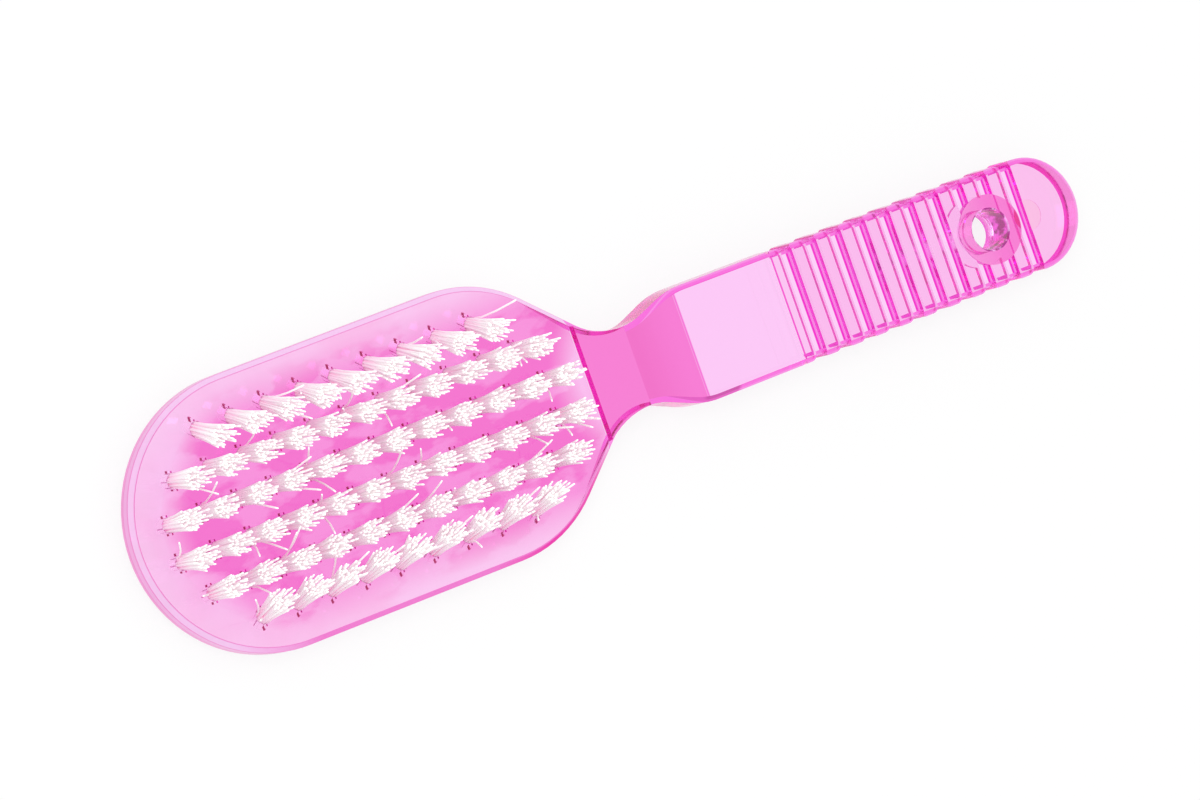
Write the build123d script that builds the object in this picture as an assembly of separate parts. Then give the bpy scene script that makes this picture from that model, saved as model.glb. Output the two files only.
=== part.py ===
from build123d import *
import math
import os

os.makedirs("parts", exist_ok=True)

# Scalp massager brush, in millimetres: one clear moulded body, six rows of nylon tufts, and the flat
# wires that hold each tuft in its hole.
# The origin lies on the flat back, under the middle of the brush. +X runs to the handle's end,
# +Y across the brush and +Z out of the bristle face.

# ---- Body, along its length
overall_length = 230.0
head_length = 108.2
head_end_length = 30.0
shoulder_length = 27.0
neck_length = 11.2
ramp_length = 12.3
throat_length = 15.1
end_block_straight = 1.0
plain_pad_share = 0.288
strip_width = 2.55

# ---- Body, across its width
head_width = 57.4
waist_width = 17.0
pad_width = 24.7
handle_end_width = 23.9
neck_side_radius = 17.9
curve_steepness_share = 1.53
shoulder_share = 0.68
throat_share = 0.42

# ---- Body, through its thickness
head_thickness = 7.0
neck_thickness = 8.4
handle_thickness = 9.85
step_run = 0.3
head_rim_bevel = 1.13
handle_bevel = 1.1
back_bevel = 0.6
back_roll_height = 2.6
back_knee_share = 0.5

# ---- Ribbed grip
rib_count = 9
groove_width = 2.65
groove_depth = 1.3
side_groove_depth = 1.1
back_groove_depth = 1.0
rib_corner_radius = 0.8
core_bevel = 0.6

# ---- Witness lines left by the mould's inserts
score_width = 0.4
score_depth = 0.15
nick_radius = 0.45
nick_height = 1.3
ejector_mark_radius = 3.3
ejector_mark_depth = 0.1

# ---- Hang hole
hang_hole_diameter = 8.6
hang_hole_to_end = 22.5
hang_ring_diameter = 14.8
hang_ring_proud = 0.2
hang_mouth_bevel = 0.3
bore_line_depth = 6.6
bore_line_width = 1.0
bore_line_cut = 0.2

# ---- Tufts. A row's first tuft is measured from the head's round end.
outer_row_count = 9
outer_row_first = 21.7
outer_row_lean_angle = 14.0
second_row_count = 11
second_row_first = 13.1
second_row_lean_angle = 3.0
middle_row_count = 12
middle_row_first = 8.9
middle_row_lean_angle = 0.0
last_tuft_to_step = 9.1
outer_row_to_rim = 8.92
hole_diameter = 3.45
hole_depth = 4.4
bristle_length = 10.5
tuft_tip_diameter = 5.2
tuft_tip_round = 0.7
tuft_sides = 8
tuft_clearance = 0.05

# ---- Anchors: flat wires, driven in crosswise and longer than the hole is wide
anchor_length = 4.2
anchor_height = 1.6
anchor_thickness = 0.3
anchor_fold_room = 0.45
anchor_clearance = 0.02

# ---- How near two places are that count as one
same_place = 0.001

# One entry for each row, from +Y to -Y: tufts, first tuft's place, lean towards the middle (degrees)
outer_row = (outer_row_count, outer_row_first, outer_row_lean_angle)
second_row = (second_row_count, second_row_first, second_row_lean_angle)
middle_row = (middle_row_count, middle_row_first, middle_row_lean_angle)
rows = (outer_row, second_row, middle_row, middle_row, second_row, outer_row)

# ---- Places and sizes worked out from those above
head_end = -overall_length / 2
handle_end = overall_length / 2
step_x = head_end + head_length
waist_x = step_x + neck_length
pad_x = waist_x + ramp_length
full_width_x = waist_x + throat_length
grip_end = handle_end - handle_end_width / 2 - end_block_straight
seam_x = pad_x + plain_pad_share * (grip_end - pad_x)
grip_start = seam_x + strip_width
groove_pitch = (grip_end - grip_start - groove_width) / rib_count
rib_width = groove_pitch - groove_width
rib_corner = min(rib_corner_radius, rib_width / 3)
hang_x = handle_end - hang_hole_to_end
tuft_pitch = (head_length - middle_row_first - last_tuft_to_step) / (middle_row_count - 1)
row_spacing = (head_width - 2 * outer_row_to_rim) / (len(rows) - 1)


def handle_width(x):
    """Width of the handle at x, between the pad's full width and the round end."""
    straight_end = handle_end - handle_end_width / 2
    share = (x - full_width_x) / (straight_end - full_width_x)
    return pad_width + (handle_end_width - pad_width) * share


def s_curve(start, end, first_share):
    """An arc, a line and an arc that lead from start to end and are tangent to X at both."""
    run = end.X - start.X
    rise = abs(end.Y - start.Y)
    side = math.copysign(1, end.Y - start.Y)
    slope = curve_steepness_share * math.atan2(rise, run)
    radii = (run * math.sin(slope) - rise * math.cos(slope)) / (1 - math.cos(slope))
    turn = math.degrees(slope) * side
    first = JernArc(start, (1, 0), radii * first_share, turn)
    last = JernArc(end, (-1, 0), radii * (1 - first_share), turn)
    return [first, Line(first @ 1, last @ 1), last]


def plan_outline():
    """The body seen from the front: round head, shoulders, waist, throat and round-ended handle."""
    half_head = head_width / 2
    end_radius = handle_end_width / 2
    side = Vector(head_end + head_end_length, half_head)
    shoulder = Vector(step_x - shoulder_length, half_head)
    waist = Vector(waist_x, waist_width / 2)
    throat = Vector(full_width_x, pad_width / 2)
    heel = Vector(handle_end - end_radius, end_radius)
    head_arc = EllipticalCenterArc((side.X, 0), head_end_length, half_head, start_angle=90, arc_size=90)
    half = [head_arc, Line(side, shoulder)]
    half += s_curve(shoulder, waist, shoulder_share)
    half += s_curve(waist, throat, throat_share)
    half += [Line(throat, heel), CenterArc((heel.X, 0), end_radius, 90, -90)]
    half += [Line((handle_end, 0), (head_end, 0))]
    upper = make_face(half)
    return upper + mirror(upper, about=Plane.XZ)


def bevelled_slab(plan, thickness, front_bevel=0.0):
    """The whole plan as a slab on the back plane, its back rim and, if asked, its front rim bevelled."""
    slab = extrude(plan, amount=thickness)
    if front_bevel > 0:
        slab = chamfer(slab.faces().sort_by(Axis.Z)[-1].edges(), front_bevel)
    return chamfer(slab.faces().sort_by(Axis.Z)[0].edges(), back_bevel)


def crosswise_plane(x):
    """The plane across the brush at x; its front side is the one towards the handle's end."""
    return Plane(origin=(x, 0, 0), x_dir=(0, 1, 0), z_dir=(1, 0, 0))


def slope_plane(x_low, z_low, x_high, z_high):
    """A crosswise plane through two heights; its front side is the one towards the head and outwards."""
    run = x_high - x_low
    rise = z_high - z_low
    return Plane(origin=(x_low, 0, z_low), x_dir=(0, 1, 0), z_dir=(-rise, 0, run))


def back_roll():
    """What the head's rounded back leaves out, in two slopes from a flat middle strip up to the rim."""
    inner = pad_width / 2
    rim = head_width / 2
    knee = inner + back_knee_share * (rim - inner)
    knee_height = back_knee_share**2 * back_roll_height
    steepness = (back_roll_height - knee_height) / (rim - knee)
    beyond = rim + back_roll_height
    beyond_height = back_roll_height + steepness * (beyond - rim)
    corners = [(inner, 0), (knee, knee_height), (beyond, beyond_height)]
    corners += [(beyond, -back_roll_height), (inner, -back_roll_height)]
    section = Plane.YZ * make_face(Polyline(*corners, close=True))
    start = Pos(head_end + head_end_length, 0, 0)
    around = start * revolve(section, axis=Axis.Z, revolution_arc=180)
    along = start * extrude(section, amount=head_length + neck_length - head_end_length)
    return [around, along, mirror(along, about=Plane.XZ)]


def neck_block(plan):
    """The raised neck from step to waist, its sides a little more hollow than the plan's."""
    band = Pos((step_x + waist_x) / 2, 0) * Rectangle(neck_length, head_width)
    side_y = waist_width / 2 + neck_side_radius
    for side in (-1, 1):
        band -= Pos(waist_x, side * side_y) * Circle(neck_side_radius)
    base = head_thickness / 2
    block = Pos(0, 0, base) * extrude(plan & band, amount=neck_thickness - base)
    riser = slope_plane(step_x, head_thickness, step_x + step_run, neck_thickness)
    return split(block, bisect_by=riser, keep=Keep.BOTTOM)


def ramp_block(plan):
    """The stretch from waist to pad, its front rising to the handle's and bevelled along both sides."""
    block = split(bevelled_slab(plan, handle_thickness), bisect_by=crosswise_plane(waist_x), keep=Keep.TOP)
    block = split(block, bisect_by=crosswise_plane(pad_x), keep=Keep.BOTTOM)
    slope = slope_plane(waist_x, neck_thickness, pad_x, handle_thickness)
    block = split(block, bisect_by=slope, keep=Keep.BOTTOM)
    front = block.faces().sort_by(Axis.Z)[-1]
    sides = front.edges().filter_by(lambda edge: abs((edge % 0.5).X) > 0.5)
    return chamfer(sides, handle_bevel)


def blank_body():
    """The body without grooves, holes or marks: head, neck, ramp and handle."""
    plan = plan_outline()
    head = bevelled_slab(plan, head_thickness, head_rim_bevel)
    head = split(head, bisect_by=crosswise_plane(waist_x), keep=Keep.BOTTOM)
    for cut in back_roll():
        head -= cut
    handle = bevelled_slab(plan, handle_thickness, handle_bevel)
    handle = split(handle, bisect_by=crosswise_plane(pad_x), keep=Keep.TOP)
    return head + neck_block(plan) + ramp_block(plan) + handle


def grip_core():
    """The bar left at the bottom of the grooves; it runs on into the solid body at both ends."""
    front = handle_thickness - groove_depth
    start = grip_start - rib_width / 2
    end = grip_end + rib_width / 2
    width_start = handle_width(start) - 2 * side_groove_depth
    width_end = handle_width(end) - 2 * side_groove_depth
    corners = [
        (start, -width_start / 2),
        (end, -width_end / 2),
        (end, width_end / 2),
        (start, width_start / 2),
    ]
    base = Plane.XY.offset(back_groove_depth)
    core = extrude(base * make_face(Polyline(*corners, close=True)), amount=front - back_groove_depth)
    long_edges = core.edges().filter_by(lambda edge: abs((edge % 0.5).X) > 0.99)
    return chamfer(long_edges, core_bevel)


def rib(x):
    """One rib of the grip, centred on x: a band round the core with rounded ends and bevelled rims."""
    width = handle_width(x)
    band = extrude(Pos(x, 0) * RectangleRounded(rib_width, width, rib_corner), amount=handle_thickness)
    spread = handle_bevel + back_bevel
    section = Polyline(
        (-width / 2 - spread, handle_thickness - handle_bevel - spread),
        (-width / 2 + handle_bevel, handle_thickness),
        (width / 2 - handle_bevel, handle_thickness),
        (width / 2 + spread, handle_thickness - handle_bevel - spread),
        (width / 2 + spread, back_bevel + spread),
        (width / 2 - back_bevel, 0),
        (-width / 2 + back_bevel, 0),
        (-width / 2 - spread, back_bevel + spread),
        close=True,
    )
    return band & extrude(Pos(x, 0, 0) * (Plane.YZ * make_face(section)), amount=rib_width, both=True)


def ribbed(body):
    """Clear the grip's stretch of the handle, then put the core and its ribs there."""
    length = grip_end - grip_start
    middle = (grip_start + grip_end) / 2
    body -= Pos(middle, 0, handle_thickness / 2) * Box(length, 2 * pad_width, 2 * handle_thickness)
    upright = body.edges().filter_by(Axis.Z)
    near_corners = upright.filter_by_position(Axis.X, grip_start - same_place, grip_start + same_place)
    far_corners = upright.filter_by_position(Axis.X, grip_end - same_place, grip_end + same_place)
    body = fillet(near_corners + far_corners, rib_corner)
    body += grip_core()
    for number in range(rib_count):
        body += rib(grip_start + groove_width + rib_width / 2 + number * groove_pitch)
    return body


def hang_hole(body):
    """A ring boss that fills the grooves it crosses, and the bored hang hole with its parting line."""
    ring_height = handle_thickness + hang_ring_proud
    centre = Pos(hang_x, 0, 0)
    body += centre * extrude(Circle(hang_ring_diameter / 2), amount=ring_height)
    body -= centre * extrude(Circle(hang_hole_diameter / 2), amount=ring_height)
    mouths = body.edges().filter_by(GeomType.CIRCLE)
    mouths = mouths.filter_by(lambda edge: abs(edge.radius - hang_hole_diameter / 2) < same_place)
    body = chamfer(mouths, hang_mouth_bevel)
    line_height = handle_thickness - bore_line_depth
    radius = hang_hole_diameter / 2
    notch = Polyline(
        (radius - bore_line_cut, line_height - bore_line_width),
        (radius + bore_line_cut, line_height),
        (radius - bore_line_cut, line_height + bore_line_width),
        close=True,
    )
    return body - centre * revolve(Plane.XZ * make_face(notch), axis=Axis.Z)


def score_line(x, top):
    """A shallow V cutter across the whole width, its point score_depth below the surface at top."""
    profile = Polyline(
        (x, top - score_depth),
        (x + score_width, top + score_depth),
        (x - score_width, top + score_depth),
        close=True,
    )
    return extrude(Plane.XZ * make_face(profile), amount=pad_width, both=True)


def witness_marks(body):
    """The mould's marks: a line with a nick at each edge, a line over the ring and a round pin mark."""
    body -= score_line(seam_x, handle_thickness)
    for side in (-1, 1):
        edge = (seam_x, side * handle_width(seam_x) / 2, handle_thickness - nick_height)
        body -= Pos(*edge) * extrude(Circle(nick_radius), amount=2 * nick_height)
    ring_line_x = grip_end - groove_width - rib_width
    body -= score_line(ring_line_x, handle_thickness + hang_ring_proud)
    mark = Pos(grip_end, 0, handle_thickness - ejector_mark_depth)
    return body - mark * extrude(Circle(ejector_mark_radius), amount=2 * ejector_mark_depth)


def bundle_section(radius):
    """A tuft's many-sided section, with flat sides where the anchor's ends come out."""
    return RegularPolygon(radius, tuft_sides, rotation=180 / tuft_sides)


def tuft_seat():
    """What one tuft takes out of the head: a blind hole and the slit that its anchor cuts going in."""
    bottom = Pos(0, 0, -hole_depth)
    hole = bottom * extrude(bundle_section(hole_diameter / 2), amount=hole_depth + hole_diameter)
    slit_bottom = Pos(0, 0, anchor_fold_room - hole_depth)
    slit = extrude(Rectangle(anchor_thickness, anchor_length), amount=hole_depth + hole_diameter)
    return hole + slit_bottom * slit


def anchor():
    """A flat wire on edge near the hole's bottom, its two ends bitten into the hole's wall."""
    wire = extrude(Rectangle(anchor_thickness, anchor_length), amount=anchor_height)
    return Pos(0, 0, anchor_fold_room - hole_depth) * wire


def tuft():
    """A bundle of filaments folded round its anchor: straight in its hole and spread at the tips."""
    root_radius = hole_diameter / 2 - tuft_clearance
    shaft = Pos(0, 0, -hole_depth) * extrude(bundle_section(root_radius), amount=hole_depth)
    spread = extrude(bundle_section(tuft_tip_diameter / 2), amount=bristle_length)
    side_share = math.cos(math.pi / tuft_sides)
    flare = slope_plane(-root_radius * side_share, 0, -tuft_tip_diameter / 2 * side_share, bristle_length)
    for _ in range(tuft_sides):
        spread = Rot(0, 0, 360 / tuft_sides) * split(spread, bisect_by=flare, keep=Keep.BOTTOM)
    spread = chamfer(spread.faces().sort_by(Axis.Z)[-1].edges(), tuft_tip_round)
    pocket_width = anchor_thickness + 2 * anchor_clearance
    pocket = extrude(Rectangle(pocket_width, anchor_length), amount=anchor_height + 2 * anchor_clearance)
    return shaft + spread - Pos(0, 0, anchor_fold_room - hole_depth - anchor_clearance) * pocket


def seats(row):
    """Where each tuft of a row stands: on the head's face, its +Z along the tuft."""
    count, first, lean = rows[row]
    y = (len(rows) - 1) * row_spacing / 2 - row * row_spacing
    turn = math.copysign(lean, y)
    stands = [Pos(head_end + first + n * tuft_pitch, y, head_thickness) for n in range(count)]
    return [stand * Rot(turn, 0, 0) for stand in stands]


def brush_body():
    """The moulded body with its grip, hang hole, marks and tuft holes."""
    body = witness_marks(hang_hole(ribbed(blank_body())))
    seat = tuft_seat()
    return body - [place * seat for row in range(len(rows)) for place in seats(row)]


def write(name, shapes):
    """Write one node's solids to its STEP file."""
    part = Compound(label=name, children=shapes)
    export_step(part, f"parts/{name}.step")


write("brush_body", brush_body().solids())
one_tuft = tuft()
one_anchor = anchor()
for row in range(len(rows)):
    places = seats(row)
    write(f"bristle_row_{row + 1}", [place * one_tuft for place in places])
    write(f"anchor_row_{row + 1}", [place * one_anchor for place in places])
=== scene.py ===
"""A scalp massager brush: one clear pink body, six rows of nylon tufts and the flat wires that hold them.

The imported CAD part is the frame. The body and the wires keep their CAD shapes and get their finishes here,
and each row of tufts gets its single filaments. All lengths are in metres.
"""

import logging
import math
import random
from abc import ABC, abstractmethod
from dataclasses import dataclass, field
from enum import Enum
from typing import Any, Iterator

import bmesh
import bpy
import numpy as np
from mathutils import Euler, Matrix, Vector

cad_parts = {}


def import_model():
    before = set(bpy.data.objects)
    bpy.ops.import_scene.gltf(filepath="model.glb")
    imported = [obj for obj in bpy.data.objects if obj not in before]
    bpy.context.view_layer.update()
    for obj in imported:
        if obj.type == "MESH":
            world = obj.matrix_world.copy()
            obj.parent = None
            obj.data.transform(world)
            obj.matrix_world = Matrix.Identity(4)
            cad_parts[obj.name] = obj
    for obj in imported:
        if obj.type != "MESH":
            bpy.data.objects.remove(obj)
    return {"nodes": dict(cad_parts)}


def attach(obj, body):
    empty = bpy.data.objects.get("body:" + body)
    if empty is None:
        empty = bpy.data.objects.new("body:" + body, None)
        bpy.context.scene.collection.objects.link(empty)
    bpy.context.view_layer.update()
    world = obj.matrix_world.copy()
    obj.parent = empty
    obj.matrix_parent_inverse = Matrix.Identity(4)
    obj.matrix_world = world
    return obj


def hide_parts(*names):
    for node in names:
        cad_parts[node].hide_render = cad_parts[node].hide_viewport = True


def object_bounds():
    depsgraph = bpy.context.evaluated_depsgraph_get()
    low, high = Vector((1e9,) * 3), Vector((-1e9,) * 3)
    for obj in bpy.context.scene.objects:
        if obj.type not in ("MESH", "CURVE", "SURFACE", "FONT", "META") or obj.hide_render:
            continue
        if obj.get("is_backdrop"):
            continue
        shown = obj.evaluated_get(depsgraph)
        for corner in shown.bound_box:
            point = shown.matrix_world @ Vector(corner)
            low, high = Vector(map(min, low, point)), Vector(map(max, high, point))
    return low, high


log = logging.getLogger("scalp_massager_brush")

MM = 0.001
SEED = 20
ROWS = 6


class Slot(Enum):
    """The record's material slots."""

    BODY = "clear_pink_plastic"
    BRISTLE = "nylon_bristle"
    WIRE = "anchor_wire"


Colour = tuple[float, float, float]
Factors = tuple[float, float, float]
Span = tuple[float, float]

WHITE: Colour = (1.0, 1.0, 1.0)


def squared(tint: Colour) -> Colour:
    """A tint squared, because clear plastic's surface lets the root of its colour through."""
    return tuple(part * part for part in tint)


# ---------------------------------------------------------------------------------------------------
# Shader maths
# ---------------------------------------------------------------------------------------------------


class Value:
    """A number in a material that plain Python operators work on."""

    def __init__(self, graph: "Graph", socket: bpy.types.NodeSocket) -> None:
        """Wrap a socket.

        Args:
            graph: The node graph that the socket belongs to.
            socket: An output socket with a number.
        """
        self.graph = graph
        self.socket = socket

    def _math(self, operation: str, first: Any, second: Any = 0.0, clamp: bool = False) -> "Value":
        """Add one Math node.

        Args:
            operation: Its operation.
            first: The first number or value.
            second: The second number or value.
            clamp: Whether the result is held between 0 and 1.

        Returns:
            The result.
        """
        settings = {"operation": operation, "use_clamp": clamp}
        node = self.graph.node("ShaderNodeMath", settings, {0: first, 1: second})
        return Value(self.graph, node.outputs[0])

    def __add__(self, other: Any) -> "Value":
        """self + other."""
        return self._math("ADD", self, other)

    def __sub__(self, other: Any) -> "Value":
        """self - other."""
        return self._math("SUBTRACT", self, other)

    def __mul__(self, other: Any) -> "Value":
        """self * other."""
        return self._math("MULTIPLY", self, other)

    def __truediv__(self, other: Any) -> "Value":
        """self / other."""
        return self._math("DIVIDE", self, other)

    def __rsub__(self, other: float) -> "Value":
        """other - self."""
        return self._math("SUBTRACT", other, self)

    __radd__ = __add__
    __rmul__ = __mul__

    def __abs__(self) -> "Value":
        """The size of the number."""
        return self._math("ABSOLUTE", self)

    def power(self, exponent: float) -> "Value":
        """The number raised to exponent."""
        return self._math("POWER", self, exponent)

    def cycle(self, length: float) -> "Value":
        """The number's place in a pattern that repeats after length."""
        return self._math("MODULO", self, length)

    def held(self) -> "Value":
        """The number held between 0 and 1."""
        return self._math("ADD", self, 0.0, clamp=True)

    def above(self, edge: float, soft: float) -> "Value":
        """1 above edge and 0 below it, with a ramp soft wide in between.

        Args:
            edge: The middle of the ramp.
            soft: The ramp's width.

        Returns:
            The mask.
        """
        return ((self - (edge - soft / 2)) / soft).held()

    def within(self, low: float, high: float, soft: float) -> "Value":
        """1 between low and high and 0 outside, with soft edges.

        Args:
            low: The lower edge.
            high: The upper edge.
            soft: The width of each edge's ramp.

        Returns:
            The mask.
        """
        return self.above(low, soft) * (1 - self.above(high, soft))


class Graph:
    """One material's or world's nodes."""

    def __init__(self, owner: bpy.types.Material | bpy.types.World) -> None:
        """Start with an empty node tree.

        Args:
            owner: The material or world to fill.
        """
        owner.use_nodes = True
        self.tree = owner.node_tree
        self.tree.nodes.clear()

    def node(
        self, kind: str, settings: dict[str, Any] | None = None, inputs: dict[Any, Any] | None = None
    ) -> bpy.types.Node:
        """Add a node.

        Args:
            kind: The node's type.
            settings: Its own settings, which are set first.
            inputs: Plain values, Values or sockets for its input sockets, by name or number.

        Returns:
            The node.
        """
        made = self.tree.nodes.new(kind)
        for name, setting in (settings or {}).items():
            setattr(made, name, setting)
        for name, given in (inputs or {}).items():
            source = given.socket if isinstance(given, Value) else given
            if isinstance(source, bpy.types.NodeSocket):
                self.tree.links.new(source, made.inputs[name])
            else:
                made.inputs[name].default_value = source
        return made

    def mix(self, factor: Any, first: Any, second: Any) -> bpy.types.NodeSocket:
        """Mix two colours.

        Args:
            factor: How much of the second, from 0 to 1.
            first: A colour or a colour socket.
            second: A colour or a colour socket.

        Returns:
            The colour socket of the result.
        """
        made = self.node("ShaderNodeMix", {"data_type": "RGBA"}, {0: factor})
        for number, given in ((6, first), (7, second)):  # a Mix node's colour sockets
            if isinstance(given, bpy.types.NodeSocket):
                self.tree.links.new(given, made.inputs[number])
            else:
                made.inputs[number].default_value = (*given, 1.0)
        return made.outputs[2]

    def place(self) -> tuple[Value, Value, Value]:
        """Read where the point on the surface is.

        Returns:
            Its x, y and z in the shared frame.
        """
        coordinates = self.node("ShaderNodeTexCoord")
        parts = self.node("ShaderNodeSeparateXYZ", None, {0: coordinates.outputs["Object"]})
        return tuple(Value(self, socket) for socket in parts.outputs)

    def facing(self) -> tuple[Value, Value, Value]:
        """Read which way the surface faces, without its bumps.

        Returns:
            The x, y and z of its direction, with length 1.
        """
        geometry = self.node("ShaderNodeNewGeometry")
        parts = self.node("ShaderNodeSeparateXYZ", None, {0: geometry.outputs["True Normal"]})
        return tuple(Value(self, socket) for socket in parts.outputs)

    def from_inside(self) -> Value:
        """1 where light meets the surface from inside the piece, and 0 outside."""
        return Value(self, self.node("ShaderNodeNewGeometry").outputs["Backfacing"])

    def ray(self, kind: str) -> Value:
        """1 for light paths of that kind, and 0 for others."""
        return Value(self, self.node("ShaderNodeLightPath").outputs[f"Is {kind} Ray"])

    def noise(self, scale: float, detail: float = 2.0, stretch: Factors = (1.0, 1.0, 1.0)) -> Value:
        """Even noise through space.

        Args:
            scale: Its scale.
            detail: Its detail.
            stretch: What each coordinate is multiplied by first; less than 1 draws the pattern out.

        Returns:
            Its factor, from 0 to 1.
        """
        coordinates = self.node("ShaderNodeTexCoord")
        drawn = self.node(
            "ShaderNodeVectorMath", {"operation": "MULTIPLY"}, {0: coordinates.outputs["Object"], 1: stretch}
        )
        inputs = {"Vector": drawn.outputs[0], "Scale": scale, "Detail": detail}
        return Value(self, self.node("ShaderNodeTexNoise", None, inputs).outputs[0])

    def bump(self, height: Value, strength: float, distance: float) -> bpy.types.NodeSocket:
        """A slightly uneven surface.

        Args:
            height: The height over the surface, from 0 to 1.
            strength: How much of it shows.
            distance: How high 1 is.

        Returns:
            The normal socket.
        """
        inputs = {"Height": height, "Strength": strength, "Distance": distance}
        return self.node("ShaderNodeBump", None, inputs).outputs[0]

    def attribute(self, name: str) -> Value:
        """The piece's own attribute of that name."""
        made = self.node("ShaderNodeAttribute", {"attribute_name": name})
        return Value(self, made.outputs["Fac"])

    def output(
        self, kind: str, surface: bpy.types.NodeSocket, volume: bpy.types.NodeSocket | None = None
    ) -> None:
        """Close the graph.

        Args:
            kind: The output node's type.
            surface: The shader of the surface.
            volume: The shader of the volume, if it has one.
        """
        inputs = {"Surface": surface}
        if volume is not None:
            inputs["Volume"] = volume
        self.node(kind, None, inputs)


# ---------------------------------------------------------------------------------------------------
# Finishes
# ---------------------------------------------------------------------------------------------------


@dataclass(frozen=True)
class BodyPlaces:
    """Where the body's surface changes, measured in the shared frame.

    The soft and sharp values are how wide the edges of the masks are. round_end and throat_end say how much x
    moves for each square of y along the head's round end and along its end at the neck.
    """

    soft: float = 0.2 * MM
    sharp: float = 0.1 * MM
    flat_up: float = 0.9
    flat_soft: float = 0.1
    front_z: float = 5 * MM
    front_soft: float = 1 * MM
    step_x: float = -6.8 * MM
    waist_x: float = 4.4 * MM
    pad_x: float = 16.7 * MM
    seam_x: float = 41.28 * MM
    grip_start: float = 43.8 * MM
    grip_end: float = 102.05 * MM
    ring_x: float = 92.5 * MM
    ring_radius: float = 7.4 * MM
    bore_radius: float = 4.7 * MM
    round_end: float = 30.0
    throat_end: float = 22.4
    holes_left: float = -109 * MM
    holes_right: float = -13.4 * MM
    holes_soft: float = 0.6 * MM
    holes_side: float = 24 * MM
    holes_side_soft: float = 1 * MM


@dataclass(frozen=True)
class Zone:
    """A zone of the body's surface: where it is, from 0 to 1, and what one pass through it lets through."""

    mask: Value
    tint: Colour


class BodySurface:
    """The body's surface: where a point is, which way it faces and the masks that several zones share."""

    def __init__(self, graph: Graph, places: BodyPlaces) -> None:
        """Work out the shared masks.

        Args:
            graph: The material's graph.
            places: Where the surface changes.
        """
        self.graph = graph
        self.places = places
        self.x, self.y, self.z = graph.place()
        self.along, self.across, self.up = graph.facing()
        self.inside = graph.from_inside()
        self.wall = 1 - abs(self.up).above(places.flat_up, places.flat_soft)
        self.front = (1 - self.wall) * self.z.above(places.front_z, places.front_soft)
        self.head = 1 - self.x.above(places.step_x - places.soft, places.soft)
        self.grip = self.x.within(places.grip_start, places.grip_end, places.sharp)
        self.end = self.x.above(places.grip_end, places.soft)
        self.ring = self.disc(places.ring_x, places.ring_radius)
        self.bore = self.disc(places.ring_x, places.bore_radius)
        self.from_round = self.x - self.y * self.y * places.round_end
        self.rim = self.wall * self.head * (1 - self._holes())
        self.handle_wall = self.wall * (1 - self.rim) * (1 - self.bore)

    def disc(self, centre_x: float, radius: float) -> Value:
        """Mask a round zone whose centre is on the brush's middle line.

        Args:
            centre_x: Where the centre is.
            radius: The zone's radius.

        Returns:
            The mask.
        """
        along = self.x - centre_x
        away = (along * along + self.y * self.y).power(0.5)
        return 1 - away.above(radius, self.places.soft)

    def _holes(self) -> Value:
        """Mask the field of tuft holes, whose walls aren't the rim.

        Returns:
            The mask, rounded like the head's outline at both ends.
        """
        places = self.places
        from_throat = self.x + self.y * self.y * places.throat_end
        holes = self.from_round.above(places.holes_left, places.holes_soft)
        holes = holes * (1 - from_throat.above(places.holes_right, places.holes_soft))
        return holes * (1 - abs(self.y).above(places.holes_side, places.holes_side_soft))


class SurfacePart(ABC):
    """A part of the body's surface with tints of its own, some of which are painted light and shade."""

    @abstractmethod
    def zones(self, body: BodySurface) -> Iterator[Zone]:
        """Mask and tint the part.

        Args:
            body: The body's surface.

        Yields:
            The part's zones. A later zone covers an earlier one.
        """


@dataclass(frozen=True)
class HeadFace(SurfacePart):
    """The head's front: pale along its border, with painted shade, deeper and mottled, between the tufts and
    towards the middle.
    """

    pale: Colour = (0.98, 0.75, 0.92)
    cloudy: Colour = (0.98, 0.66, 0.86)
    # painted shade between the tufts
    tufted: Colour = (0.96, 0.40, 0.76)
    # deeper, mottled painted shade between the tufts
    deep: Colour = (0.93, 0.235, 0.66)
    tufts_left: float = -105 * MM
    tufts_right: float = -12 * MM
    tufts_side: float = 23 * MM
    tufts_soft: float = 7 * MM
    cloud_scale: float = 55.0
    cloud_detail: float = 3.0
    cloud_level: float = 0.52
    cloud_soft: float = 0.25
    tufted_least: float = 0.7
    tufted_change: float = 0.6
    mottle_scale: float = 150.0
    mottle_detail: float = 4.0
    mottle_stretch: Factors = (0.5, 1.0, 1.0)
    mottle_level: float = 0.54
    mottle_soft: float = 0.07
    middle_side: float = 13 * MM
    middle_soft: float = 10 * MM
    # more painted shade towards the middle
    middle_gain: float = 0.08

    def zones(self, body: BodySurface) -> Iterator[Zone]:
        """Mask and tint the face, from the palest zone to the deepest painted shade between the tufts.

        Args:
            body: The body's surface.

        Yields:
            The face's zones.
        """
        cloud = body.graph.noise(self.cloud_scale, self.cloud_detail)
        mottle = body.graph.noise(self.mottle_scale, self.mottle_detail, self.mottle_stretch)
        middle = 1 - abs(body.y).above(self.middle_side, self.middle_soft)
        face = body.head * body.front
        # the tufted field, where shade is painted
        tufted = face * body.from_round.within(self.tufts_left, self.tufts_right, self.tufts_soft)
        tufted = tufted * (1 - abs(body.y).above(self.tufts_side, self.tufts_soft))
        # mottled painted shade, more of it towards the middle
        deep = (mottle + middle * self.middle_gain).above(self.mottle_level, self.mottle_soft)
        yield Zone(face, self.pale)
        yield Zone(face * cloud.above(self.cloud_level, self.cloud_soft), self.cloudy)
        yield Zone(tufted * (self.tufted_least + cloud * self.tufted_change).held(), self.tufted)
        yield Zone(tufted * deep, self.deep)


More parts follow.
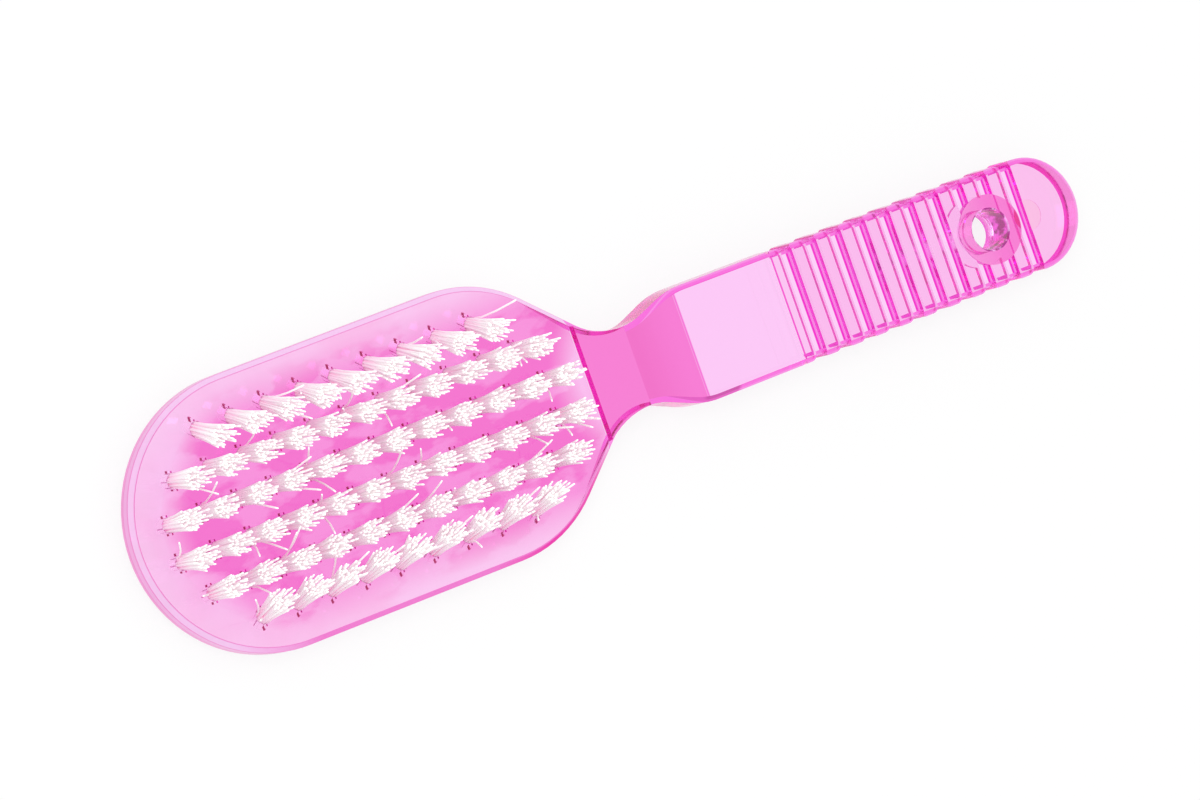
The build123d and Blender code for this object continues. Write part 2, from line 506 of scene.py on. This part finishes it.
@dataclass(frozen=True)
class NeckFront(SurfacePart):
    """The neck's front, the ramp up to the pad and the line where the pad starts."""

    neck: Colour = (0.95, 0.31, 0.70)
    ramp: Colour = (0.90, 0.24, 0.62)
    pad_edge: Colour = (0.95, 0.30, 0.74)
    ramp_fade_at: float = 6 * MM
    ramp_fade: float = 9 * MM
    edge_width: float = 0.5 * MM

    def zones(self, body: BodySurface) -> Iterator[Zone]:
        """Mask and tint the neck.

        Args:
            body: The body's surface.

        Yields:
            The neck's zones.
        """
        places = body.places
        neck = body.front * body.x.within(places.step_x, places.pad_x, places.soft)
        ramp = body.x.above(places.waist_x, places.soft)
        ramp = ramp * (1 - body.x.above(places.waist_x + self.ramp_fade_at, self.ramp_fade))
        pad_edge = body.x.within(places.pad_x, places.pad_x + self.edge_width, places.soft)
        yield Zone(neck, self.neck)
        yield Zone(neck * ramp, self.ramp)
        yield Zone(body.front * pad_edge, self.pad_edge)


@dataclass(frozen=True)
class HandleFront(SurfacePart):
    """The handle's front from the witness line to the round end, with painted shade along the bottoms of the
    grooves and around the round end.
    """

    strip: Colour = (0.99, 0.90, 0.95)
    seam: Colour = (0.97, 0.62, 0.66)
    rib: Colour = (0.98, 0.80, 0.91)
    # painted shade where each groove's bottom meets the ribs: a band at each side and a dark line
    groove_start: Colour = (0.97, 0.56, 0.86)
    groove_end: Colour = (0.97, 0.38, 0.82)
    groove_line: Colour = (0.93, 0.03, 0.66)
    end: Colour = (0.99, 0.90, 0.92)
    # painted shade: a darker crescent along the round end's edge, where the end wall shows through the front
    crescent: Colour = (0.92, 0.40, 0.71)
    pin_mark: Colour = (0.98, 0.88, 0.84)
    seam_half: float = 0.2 * MM
    ribs: int = 9
    rib_top: float = 9.5 * MM
    groove_width: float = 2.65 * MM
    start_width: float = 0.5 * MM
    end_width: float = 0.95 * MM
    line_width: float = 0.5 * MM
    crescent_x: float = 99.85 * MM
    crescent_radius: float = 11.5 * MM
    pin_mark_radius: float = 3.3 * MM

    def zones(self, body: BodySurface) -> Iterator[Zone]:
        """Mask and tint the handle's front.

        Args:
            body: The body's surface.

        Yields:
            The handle's front zones.
        """
        places = body.places
        strip = body.x.within(places.seam_x, places.grip_start, places.soft)
        seam = body.x.within(places.seam_x - self.seam_half, places.seam_x + self.seam_half, places.sharp)
        yield Zone(body.front * strip, self.strip)
        yield Zone(body.front * seam, self.seam)
        yield from self._grip(body)
        end = body.front * body.end
        yield Zone(end, self.end)
        # painted shade in a crescent along the round end's edge
        yield Zone(end * (1 - body.disc(self.crescent_x, self.crescent_radius)), self.crescent)
        yield Zone(end * body.disc(places.grip_end, self.pin_mark_radius), self.pin_mark)

    def _grip(self, body: BodySurface) -> Iterator[Zone]:
        """Mask and tint the ribs and the bands of painted shade at both sides of each groove's bottom, where
        it meets the ribs.

        Args:
            body: The body's surface.

        Yields:
            The grip's zones.
        """
        places = body.places
        high = body.z.above(self.rib_top, places.sharp)
        ribs = body.front * body.x.within(places.grip_start, places.grip_end, places.soft) * high
        pitch = (places.grip_end - places.grip_start - self.groove_width) / self.ribs
        across = (body.x - places.grip_start).cycle(pitch)
        bottom = body.front * body.grip * (1 - high)
        end_at = self.groove_width - self.end_width
        line = across.within(end_at, end_at + self.line_width, places.sharp)
        yield Zone(ribs, self.rib)
        # painted shade at the groove's start
        yield Zone(bottom * (1 - across.above(self.start_width, places.soft)), self.groove_start)
        # painted shade at the groove's far end, with its darkest line
        yield Zone(bottom * across.within(end_at, self.groove_width, places.sharp), self.groove_end)
        yield Zone(bottom * line, self.groove_line)


@dataclass(frozen=True)
class RingFront(SurfacePart):
    """The ring boss's front, which is lighter towards the head."""

    deep: Colour = (0.96, 0.32, 0.70)
    light: Colour = (0.97, 0.52, 0.78)
    fade_at: float = -3 * MM
    fade: float = 8 * MM

    def zones(self, body: BodySurface) -> Iterator[Zone]:
        """Mask and tint the ring.

        Args:
            body: The body's surface.

        Yields:
            The ring's zones.
        """
        ring = body.front * body.ring
        yield Zone(ring, self.deep)
        yield Zone(ring * (1 - body.x.above(body.places.ring_x + self.fade_at, self.fade)), self.light)


@dataclass(frozen=True)
class HeadRim(SurfacePart):
    """The head's rim: three bands, lighter towards the top with painted light, with thin painted shade lines
    between, and painted shade along the lower side.
    """

    # the bands grow lighter towards the top: painted light
    low: Colour = (0.973, 0.600, 0.850)
    light: Colour = (0.978, 0.670, 0.900)
    bright: Colour = (0.982, 0.790, 0.965)
    # thin darker lines between the bands: painted shade
    line: Colour = (0.950, 0.500, 0.800)
    # painted shade along the lower side, with a darker painted shade line
    side: Colour = (0.960, 0.450, 0.810)
    side_line: Colour = (0.930, 0.130, 0.640)
    light_z: float = 3.9 * MM
    bright_z: float = 5.85 * MM
    lines: tuple[Span, ...] = ((3.75 * MM, 4.0 * MM), (5.7 * MM, 5.95 * MM))
    top_line_z: float = 6.85 * MM
    side_y: float = -16 * MM
    side_y_fade: float = 8 * MM
    side_x: float = -92 * MM
    side_x_fade: float = 20 * MM
    side_line_x: float = -34 * MM
    side_line_fade: float = 14 * MM
    side_line_span: Span = (5.8 * MM, 6.7 * MM)

    def zones(self, body: BodySurface) -> Iterator[Zone]:
        """Mask and tint the rim, with its painted light and shade.

        Args:
            body: The body's surface.

        Yields:
            The rim's zones.
        """
        places = body.places
        line = body.z.above(self.top_line_z, places.sharp)
        for low, high in self.lines:
            line = line + body.z.within(low, high, places.sharp)
        # painted shade along the lower side
        side = body.rim * (1 - body.y.above(self.side_y, self.side_y_fade))
        side = side * body.x.above(self.side_x, self.side_x_fade)
        side_line = side * body.x.above(self.side_line_x, self.side_line_fade)
        yield Zone(body.rim, self.low)
        # lighter bands higher up: painted light
        yield Zone(body.rim * body.z.above(self.light_z, places.sharp), self.light)
        yield Zone(body.rim * body.z.above(self.bright_z, places.sharp), self.bright)
        yield Zone(body.rim * line.held(), self.line)
        yield Zone(side, self.side)
        yield Zone(side_line * body.z.within(*self.side_line_span, places.soft), self.side_line)


@dataclass(frozen=True)
class HandleWall(SurfacePart):
    """The walls of the neck and the handle, with their front bevel.

    Light also meets a wall from inside the body, where lighter tints, which are painted light, keep it from
    going grey; the ribs' risers get a painted highlight.
    """

    plain: Colour = (0.975, 0.24, 0.78)
    side: Colour = (0.98, 0.44, 0.84)
    # painted highlight along the bevel's lower edge
    bevel_light: Colour = (0.97, 0.45, 0.84)
    # painted shade line along the bevel's top
    bevel_line: Colour = (0.95, 0.16, 0.70)
    bevel_shade: Colour = (0.80, 0.16, 0.58)
    # darker painted shade at the pad's corner
    wedge: Colour = (0.62, 0.08, 0.42)
    # painted light on the walls seen from inside the body
    inner: Colour = (0.995, 0.34, 0.90)
    inner_end: Colour = (0.97, 0.30, 0.84)
    # painted shade: a dark arc at the foot of the round end's wall, seen from inside
    end_foot: Colour = (0.96, 0.08, 0.68)
    # painted highlight on the ribs' risers
    riser: Colour = (0.99, 0.62, 0.92)
    upright_up: float = 0.3
    square_on: float = 0.8
    turn_soft: float = 0.1
    bevel_z: float = 8.8 * MM
    bevel_light_z: float = 9.1 * MM
    bevel_line_z: float = 9.7 * MM
    shade_start: float = 1 * MM
    shade_end: float = 8 * MM
    shade_soft: float = 1 * MM
    wedge_z: float = 9.2 * MM
    wedge_start: float = -0.5 * MM
    foot_z: float = 0.65 * MM

    def zones(self, body: BodySurface) -> Iterator[Zone]:
        """Mask and tint the walls.

        Args:
            body: The body's surface.

        Yields:
            The walls' zones.
        """
        wall = body.handle_wall
        upright = 1 - abs(body.up).above(self.upright_up, self.turn_soft)
        sideways = abs(body.across).above(self.square_on, self.turn_soft)
        inner_end = wall * body.inside * body.end
        yield Zone(wall, self.plain)
        yield Zone(wall * upright * (sideways + body.end).held(), self.side)
        yield from self._bevel(body)
        # painted light on walls met from inside
        yield Zone(wall * body.inside, self.inner)
        yield Zone(inner_end, self.inner_end)
        # painted shade at the end wall's foot
        yield Zone(inner_end * (1 - body.z.above(self.foot_z, body.places.sharp)), self.end_foot)
        # painted highlight on the risers
        yield Zone(wall * body.grip * abs(body.along).above(self.square_on, self.turn_soft), self.riser)

    def _bevel(self, body: BodySurface) -> Iterator[Zone]:
        """Mask and tint the bevel: a painted highlight along its lower edge, a painted shade line along its
        top, painted shade along the ramp and a darker painted shade wedge at the pad's corner.

        Args:
            body: The body's surface.

        Yields:
            The bevel's zones.
        """
        places = body.places
        bevel = body.wall * (1 - body.head) * body.z.above(self.bevel_z, places.sharp)
        start = places.waist_x + self.shade_start
        shade = bevel * (1 - body.y.above(0, places.soft))
        shade = shade * body.x.within(start, places.pad_x + self.shade_end, self.shade_soft)
        # the wedge of darker painted shade
        wedge = shade * body.z.above(self.wedge_z, places.soft)
        wedge = wedge * body.x.above(places.pad_x + self.wedge_start, self.shade_soft)
        # painted highlight, painted shade line, painted shade and its darker wedge
        yield Zone(bevel * (1 - body.z.above(self.bevel_light_z, places.soft)), self.bevel_light)
        yield Zone(bevel * body.z.above(self.bevel_line_z, places.sharp), self.bevel_line)
        yield Zone(shade, self.bevel_shade)
        yield Zone(wedge, self.wedge)


@dataclass(frozen=True)
class BoreWall(SurfacePart):
    """The hang hole's wall, with dark streaks of painted reflection above its parting line."""

    pale: Colour = (1.0, 0.80, 0.97)
    # painted reflection: dark streaks on the hole's upper wall
    dark: Colour = (0.42, 0.03, 0.30)
    parting_z: float = 3.8 * MM
    streak_scale: float = 650.0
    streak_detail: float = 4.0
    streak_stretch: Factors = (1.0, 1.0, 0.5)
    streak_level: float = 0.48
    streak_soft: float = 0.12

    def zones(self, body: BodySurface) -> Iterator[Zone]:
        """Mask and tint the hole's wall.

        Args:
            body: The body's surface.

        Yields:
            The wall's zones.
        """
        wall = body.wall * body.bore
        upper = wall * body.z.above(self.parting_z, body.places.soft)
        # noise that places the streaks of painted reflection
        streaks = body.graph.noise(self.streak_scale, self.streak_detail, self.streak_stretch)
        yield Zone(wall, self.pale)
        yield Zone(upper * streaks.above(self.streak_level, self.streak_soft), self.dark)


@dataclass(frozen=True)
class ClearPinkPlastic:
    """Clear moulded plastic with a pink dye.

    Its colour comes from the light's way through the dyed plastic and from the tints of the surface's parts,
    some of which are painted light and shade.
    """

    absorbed: Colour = (0.975, 0.133, 0.892)
    density: float = 60.0
    refraction: float = 1.5
    gloss: float = 0.02
    gloss_change: float = 0.03
    ring_frost: float = 0.12
    wall_frost: float = 0.1
    rim_frost: float = 0.25
    rim_mirror: float = 0.88
    grain_scale: float = 900.0
    grain_detail: float = 3.0
    grain_strength: float = 0.05
    grain_height: float = 0.05 * MM
    places: BodyPlaces = BodyPlaces()
    parts: tuple[SurfacePart, ...] = (
        HeadFace(),
        NeckFront(),
        HandleFront(),
        RingFront(),
        HeadRim(),
        HandleWall(),
        BoreWall(),
    )

    def material(self) -> bpy.types.Material:
        """Build the material.

        Returns:
            The material for the body's slots.
        """
        made = bpy.data.materials.new(Slot.BODY.value)
        graph = Graph(made)
        body = BodySurface(graph, self.places)
        tint = WHITE
        for part in self.parts:
            for zone in part.zones(body):
                tint = graph.mix(zone.mask, tint, squared(zone.tint))
        grain = graph.noise(self.grain_scale, self.grain_detail)
        frost = body.ring * self.ring_frost + body.handle_wall * self.wall_frost + body.rim * self.rim_frost
        shader = graph.node(
            "ShaderNodeBsdfPrincipled",
            None,
            {
                "Base Color": tint,
                "Metallic": body.rim * (1 - body.inside) * self.rim_mirror,
                "Roughness": self.gloss + frost + grain * self.gloss_change,
                "IOR": self.refraction,
                "Transmission Weight": 1.0,
                "Normal": graph.bump(grain, self.grain_strength, self.grain_height),
            },
        )
        volume = graph.node(
            "ShaderNodeVolumeAbsorption", None, {"Color": (*self.absorbed, 1.0), "Density": self.density}
        )
        graph.output("ShaderNodeOutputMaterial", shader.outputs[0], volume.outputs[0])
        return made


@dataclass(frozen=True)
class NylonFilament:
    """White nylon filament, with painted pink light from the body where it stands in it."""

    pale: Colour = (0.92, 0.93, 0.91)
    dull: Colour = (0.86, 0.74, 0.80)
    # painted pink light from the body near the roots
    base: Colour = (0.94, 0.68, 0.82)
    end: Colour = (0.97, 0.98, 0.96)
    face_z: float = 7 * MM
    fade: float = 7 * MM
    grain_scale: float = 900.0
    grain_share: float = 0.3
    shade_share: float = 0.8
    shade_offset: float = -0.1
    sheen: float = 0.35
    sheen_change: float = 0.2
    refraction: float = 1.53
    # painted light: a faint glow on the sides and cut ends, though nylon is no lamp
    side_glow: float = 0.1
    end_glow: float = 0.15

    def material(self, name: str, cut: bool) -> bpy.types.Material:
        """Build the material.

        Args:
            name: Its name.
            cut: Whether it is for the cut ends.

        Returns:
            The material.
        """
        made = bpy.data.materials.new(name)
        graph = Graph(made)
        _, _, z = graph.place()
        noise = graph.noise(self.grain_scale)
        grain = noise * self.grain_share
        if cut:
            colour = graph.mix(grain, self.end, self.pale)
        else:
            shade = graph.attribute("shade") * self.shade_share
            side = graph.mix((shade + grain + self.shade_offset).held(), self.pale, self.dull)
            # painted pink light near the filaments' roots, fading with height
            height = z.above(self.face_z + self.fade / 2, self.fade) + grain - self.grain_share / 2
            colour = graph.mix(height.held(), self.base, side)
        shader = graph.node(
            "ShaderNodeBsdfPrincipled",
            None,
            {
                "Base Color": colour,
                "Roughness": self.sheen + noise * self.sheen_change,
                "IOR": self.refraction,
                # painted light: the glow
                "Emission Color": colour,
                "Emission Strength": self.end_glow if cut else self.side_glow,
            },
        )
        graph.output("ShaderNodeOutputMaterial", shader.outputs[0])
        return made


@dataclass(frozen=True)
class AnchorWire:
    """Flat drawn steel wire, with a faint glow for the pink light around it inside the body."""

    colour: Colour = (0.62, 0.14, 0.36)
    metal: float = 0.5
    roughness: float = 0.35
    drawn_scale: float = 2500.0
    drawn_change: float = 0.15
    inner_light: Colour = (0.20, 0.01, 0.09)

    def material(self) -> bpy.types.Material:
        """Build the material.

        Returns:
            The material for the wires.
        """
        made = bpy.data.materials.new(Slot.WIRE.value)
        graph = Graph(made)
        drawn = graph.noise(self.drawn_scale)
        shader = graph.node(
            "ShaderNodeBsdfPrincipled",
            None,
            {
                "Base Color": (*self.colour, 1.0),
                "Metallic": self.metal,
                "Emission Color": (*self.inner_light, 1.0),
                "Emission Strength": 1.0,
                "Roughness": self.roughness + drawn * self.drawn_change,
            },
        )
        graph.output("ShaderNodeOutputMaterial", shader.outputs[0])
        return made


@dataclass(frozen=True)
class WhiteFloor:
    """A white floor that shows as white and still takes the object's shadow."""

    paint: Colour = (0.92, 0.92, 0.92)
    shadow_share: float = 0.16

    def material(self) -> bpy.types.Material:
        """Build the material.

        Returns:
            The material for the floor.
        """
        made = bpy.data.materials.new("white_floor")
        graph = Graph(made)
        seen = graph.ray("Camera") * (1 - self.shadow_share) + graph.ray("Glossy") + graph.ray("Transmission")
        paint = graph.node("ShaderNodeBsdfDiffuse", None, {"Color": (*self.paint, 1.0)})
        white = graph.node("ShaderNodeEmission", None, {"Color": (*WHITE, 1.0), "Strength": 1.0})
        inputs = {0: seen.held(), 1: paint.outputs[0], 2: white.outputs[0]}
        both = graph.node("ShaderNodeMixShader", None, inputs)
        graph.output("ShaderNodeOutputMaterial", both.outputs[0])
        return made


# ---------------------------------------------------------------------------------------------------
# Pieces
# ---------------------------------------------------------------------------------------------------


@dataclass
class MouldedBody:
    """The body, which keeps its CAD shape."""

    node: str = "brush_body"
    finish: ClearPinkPlastic = field(default_factory=ClearPinkPlastic)

    def dress(self, nodes: dict[str, bpy.types.Object]) -> None:
        """Give the body its finish.

        Args:
            nodes: The frame's nodes.
        """
        material = self.finish.material()
        for slot in nodes[self.node].material_slots:
            slot.material = material
        log.info("%s: finish set", self.node)


@dataclass
class AnchorRows:
    """The flat wires of all rows, which keep their CAD shapes."""

    prefix: str = "anchor_row_"
    finish: AnchorWire = field(default_factory=AnchorWire)

    def dress(self, nodes: dict[str, bpy.types.Object]) -> None:
        """Give the wires their finish.

        Args:
            nodes: The frame's nodes.
        """
        material = self.finish.material()
        for name, node in nodes.items():
            if name.startswith(self.prefix):
                for slot in node.material_slots:
                    slot.material = material
                log.info("%s: finish set", name)


@dataclass
class Filament:
    """One filament of a tuft: a thin bent tube with a narrowed cut end."""

    radius: float = 0.22 * MM
    sides: int = 6
    lengths: int = 4
    end_share: float = 0.03
    end_taper: float = 0.75

    def mesh(self) -> bpy.types.Mesh:
        """Model a straight filament of length 1 along Z, with its thickness in metres.

        Returns:
            The template mesh. Its second material is for the cut end.
        """
        shape = bmesh.new()
        ring = bmesh.ops.create_circle(shape, segments=self.sides, radius=self.radius, cap_ends=True)
        top = ring["verts"][0].link_faces[0]
        steps = [(1 - self.end_share) / self.lengths] * self.lengths + [self.end_share]
        for step in steps:
            grown = bmesh.ops.extrude_face_region(shape, geom=[top], use_keep_orig=False)
            verts = [item for item in grown["geom"] if isinstance(item, bmesh.types.BMVert)]
            bmesh.ops.translate(shape, verts=verts, vec=(0, 0, step))
            top = next(item for item in grown["geom"] if isinstance(item, bmesh.types.BMFace))
        bmesh.ops.scale(shape, verts=list(top.verts), vec=(self.end_taper, self.end_taper, 1))
        bmesh.ops.recalc_face_normals(shape, faces=shape.faces)
        below_cut = 1 - 1.5 * self.end_share  # half a step under the narrowed end
        for face in shape.faces:
            face.material_index = int(min(vert.co.z for vert in face.verts) > below_cut)
        made = bpy.data.meshes.new("filament")
        shape.to_mesh(made)
        shape.free()
        return made


@dataclass
class Tuft:
    """Where one tuft stands: its lower end and its upper end."""

    root: Vector
    tip: Vector

    @property
    def axis(self) -> Vector:
        """The direction from root to tip."""
        return (self.tip - self.root).normalized()


@dataclass
class BristleRow:
    """One row of tufts, filament by filament."""

    number: int
    filaments: int = 56
    root_radius: float = 1.48 * MM
    tip_radius: float = 2.4 * MM
    raggedness: float = 0.16 * MM
    drag: float = 3.0 * MM
    trim: float = 1.2 * MM
    hole_share: float = 0.28
    flare: float = 1.6
    swirl: float = 0.2
    drag_least: float = 0.5
    stray_from: float = 0.7
    stray_share: float = 0.03
    stray_reach: float = 4.2 * MM
    stray_out_least: float = 0.4
    stray_drop: Span = (0.2, 0.5)
    headroom: float = 0.06 * MM
    weld: float = 0.001 * MM

    @property
    def node(self) -> str:
        """The CAD node that the row stands for."""
        return f"bristle_row_{self.number}"

    def tufts(self, node: bpy.types.Object) -> Iterator[Tuft]:
        """Find the tufts of the CAD row.

        Args:
            node: The row's CAD node.

        Yields:
            Each tuft, from its solid's own long axis.
        """
        solid = bmesh.new()
        solid.from_mesh(node.data)
        bmesh.ops.remove_doubles(solid, verts=solid.verts, dist=self.weld)
        waiting = set(solid.verts)
        while waiting:
            island = {waiting.pop()}
            edge = list(island)
            while edge:
                near = {other for vert in edge for link in vert.link_edges for other in link.verts}
                edge = list(near & waiting)
                island |= set(edge)
                waiting -= set(edge)
            points = np.array([vert.co for vert in island])
            centre = points.mean(axis=0)
            _, _, axes = np.linalg.svd(points - centre)
            axis = Vector(axes[0]) if axes[0][2] > 0 else -Vector(axes[0])
            middle = Vector(centre)
            along = [(Vector(point) - middle).dot(axis) for point in points]
            yield Tuft(middle + axis * min(along), middle + axis * max(along))
        solid.free()

    def build(
        self,
        nodes: dict[str, bpy.types.Object],
        template: bpy.types.Mesh,
        materials: list[bpy.types.Material],
        top: float,
    ) -> None:
        """Model the row's filaments and let them stand for the CAD row.

        Args:
            nodes: The frame's nodes.
            template: The straight filament.
            materials: The finishes of the filaments' sides and cut ends.
            top: The height that no filament passes.
        """
        chance = random.Random(SEED + self.number)
        row = bmesh.new()
        tufts = sorted(self.tufts(nodes[self.node]), key=lambda item: item.root.x)
        for tuft in tufts:
            self._fill(row, tuft, template, chance, top - self.headroom)
        mesh = bpy.data.meshes.new(f"bristles_{self.number}")
        row.to_mesh(mesh)
        row.free()
        shades = [chance.random() for _ in range(len(tufts) * self.filaments)]
        shade = mesh.attributes.new("shade", "FLOAT", "POINT")
        shade.data.foreach_set("value", np.repeat(shades, len(template.vertices)))
        for material in materials:
            mesh.materials.append(material)
        piece = bpy.data.objects.new(f"bristles_{self.number}", mesh)
        bpy.context.scene.collection.objects.link(piece)
        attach(piece, "root")
        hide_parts(self.node)
        log.info("%s: %d tufts, %d faces", piece.name, len(tufts), len(mesh.polygons))

    def _fill(
        self, row: bmesh.types.BMesh, tuft: Tuft, template: bpy.types.Mesh, chance: random.Random, top: float
    ) -> None:
        """Put one tuft's filaments into the row.

        Args:
            row: The row's mesh so far.
            tuft: The tuft.
            template: The straight filament.
            chance: The row's source of chance.
            top: The height that no filament passes.
        """
        stand = Matrix.Translation(tuft.root) @ tuft.axis.to_track_quat("Z", "Y").to_matrix().to_4x4()
        length = (tuft.tip - tuft.root).length
        towards_handle = stand.to_3x3().inverted() @ Vector((1, 0, 0))
        towards_handle.z = 0
        golden = math.pi * (3 - math.sqrt(5))
        for index in range(self.filaments):
            share = math.sqrt((index + 0.5) / self.filaments)
            angle = golden * index + chance.uniform(-self.swirl, self.swirl)
            around = Vector((math.cos(angle), math.sin(angle), 0))
            low = around * share * self.root_radius
            high, reach = self._tip(around, share, length, towards_handle, chance)
            over = (stand @ Vector((high.x, high.y, reach))).z - top
            reach -= max(0.0, over) / tuft.axis.z
            self._add(row, template, stand, low, high, reach)

    def _tip(
        self, around: Vector, share: float, length: float, towards_handle: Vector, chance: random.Random
    ) -> tuple[Vector, float]:
        """Find where a filament ends.

        Args:
            around: The filament's direction from the tuft's axis.
            share: Its distance from the axis, as a share of the tuft's radius.
            length: The tuft's length.
            towards_handle: The direction of the handle, across the tuft.
            chance: The row's source of chance.

        Returns:
            The tip's place across the tuft, and its distance along it.
        """
        high = around * share * self.tip_radius
        high += Vector((chance.gauss(0, 1), chance.gauss(0, 1), 0)) * self.raggedness
        outward = max(0.0, around.dot(towards_handle)) * share
        high += towards_handle * outward * chance.uniform(self.drag_least, 1.0) * self.drag
        reach = length - abs(chance.gauss(0, 1)) * self.raggedness - outward * chance.random() * self.trim
        if share > self.stray_from and chance.random() < self.stray_share:
            high += around * chance.uniform(self.stray_out_least, 1.0) * self.stray_reach
            reach -= chance.uniform(*self.stray_drop) * self.stray_reach
        return high, reach

    def _add(
        self,
        row: bmesh.types.BMesh,
        template: bpy.types.Mesh,
        stand: Matrix,
        low: Vector,
        high: Vector,
        reach: float,
    ) -> None:
        """Bend a copy of the straight filament and put it into the row.

        Args:
            row: The row's mesh so far.
            template: The straight filament.
            stand: Where the tuft stands.
            low: The filament's place across the tuft, inside the hole.
            high: Its place across the tuft, at the tip.
            reach: How far along the tuft it reaches.
        """
        first = len(row.verts)
        row.from_mesh(template)
        row.verts.ensure_lookup_table()
        new = [row.verts[n] for n in range(first, len(row.verts))]
        for vert in new:
            level = vert.co.z
            spread = max(0.0, (level - self.hole_share) / (1 - self.hole_share))
            middle = low.lerp(high, spread**self.flare)
            vert.co = Vector((vert.co.x + middle.x, vert.co.y + middle.y, level * reach))
        bmesh.ops.transform(row, matrix=stand, verts=new)


# ---------------------------------------------------------------------------------------------------
# Studio
# ---------------------------------------------------------------------------------------------------


@dataclass
class Studio:
    """A white floor, an even white room, a soft lamp and the camera."""

    floor_side: float = 6.0
    floor_drop: float = 0.05 * MM
    room_strength: float = 0.92
    lamp_place: Vector = field(default_factory=lambda: Vector((-0.6, 0.35, 1.2)))
    lamp_side: float = 0.6
    lamp_watts: float = 5.0
    camera_place: Vector = field(default_factory=lambda: Vector((-0.9447, 0.11234, 1.80954)))
    camera_turn: tuple[float, float, float] = (6.8709, -26.8969, -21.9692)
    lens: float = 299.7
    sensor: float = 36.0
    far: float = 100.0
    clear_bounces: int = 96
    diffuse_bounces: int = 12

    def floor(self) -> None:
        """Lay the floor under the brush."""
        shape = bmesh.new()
        bmesh.ops.create_grid(shape, x_segments=1, y_segments=1, size=self.floor_side / 2)
        bmesh.ops.translate(shape, verts=shape.verts, vec=(0, 0, -self.floor_drop))
        mesh = bpy.data.meshes.new("floor")
        shape.to_mesh(mesh)
        shape.free()
        mesh.materials.append(WhiteFloor().material())
        floor = bpy.data.objects.new("floor", mesh)
        bpy.context.scene.collection.objects.link(floor)
        floor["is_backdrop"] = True

    def room(self) -> None:
        """Surround the brush with even white light."""
        world = bpy.data.worlds.new("white_room")
        bpy.context.scene.world = world
        graph = Graph(world)
        seen = (graph.ray("Camera") + graph.ray("Glossy") + graph.ray("Transmission")).held()
        strength = self.room_strength + seen * (1 - self.room_strength)
        inputs = {"Color": (*WHITE, 1.0), "Strength": strength}
        light = graph.node("ShaderNodeBackground", None, inputs)
        graph.output("ShaderNodeOutputWorld", light.outputs[0])

    def lamp(self) -> None:
        """Add a soft lamp that looks at the brush."""
        light = bpy.data.lights.new("key_lamp", "AREA")
        light.size = self.lamp_side
        light.energy = self.lamp_watts
        lamp = bpy.data.objects.new("key_lamp", light)
        lamp.location = self.lamp_place
        lamp.rotation_euler = (-self.lamp_place).to_track_quat("-Z", "Y").to_euler()
        bpy.context.scene.collection.objects.link(lamp)

    def camera(self) -> None:
        """Set up the camera."""
        data = bpy.data.cameras.new("camera")
        data.lens = self.lens
        data.sensor_width = self.sensor
        data.clip_end = self.far
        camera = bpy.data.objects.new("camera", data)
        camera.location = self.camera_place
        camera.rotation_euler = Euler([math.radians(angle) for angle in self.camera_turn])
        bpy.context.scene.collection.objects.link(camera)
        bpy.context.scene.camera = camera

    def build(self) -> None:
        """Set up the whole studio, with enough bounces for light to get through the clear body."""
        bpy.context.scene.view_settings.view_transform = "Standard"
        paths = bpy.context.scene.cycles
        paths.max_bounces = self.clear_bounces
        paths.glossy_bounces = self.clear_bounces
        paths.transmission_bounces = self.clear_bounces
        paths.diffuse_bounces = self.diffuse_bounces
        self.floor()
        self.room()
        self.lamp()
        self.camera()
        log.info("studio: ready")


def main() -> None:
    """Build the brush and its studio."""
    logging.basicConfig(level=logging.INFO, format="%(name)s: %(message)s")
    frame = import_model()
    cad_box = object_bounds()
    nodes = frame["nodes"]
    MouldedBody().dress(nodes)
    AnchorRows().dress(nodes)
    template = Filament().mesh()
    nylon = NylonFilament()
    finishes = [nylon.material("nylon_filament", False), nylon.material("nylon_filament_end", True)]
    for number in range(1, ROWS + 1):
        BristleRow(number).build(nodes, template, finishes, cad_box[1][2])
    Studio().build()


if __name__ == "__main__":
    main()
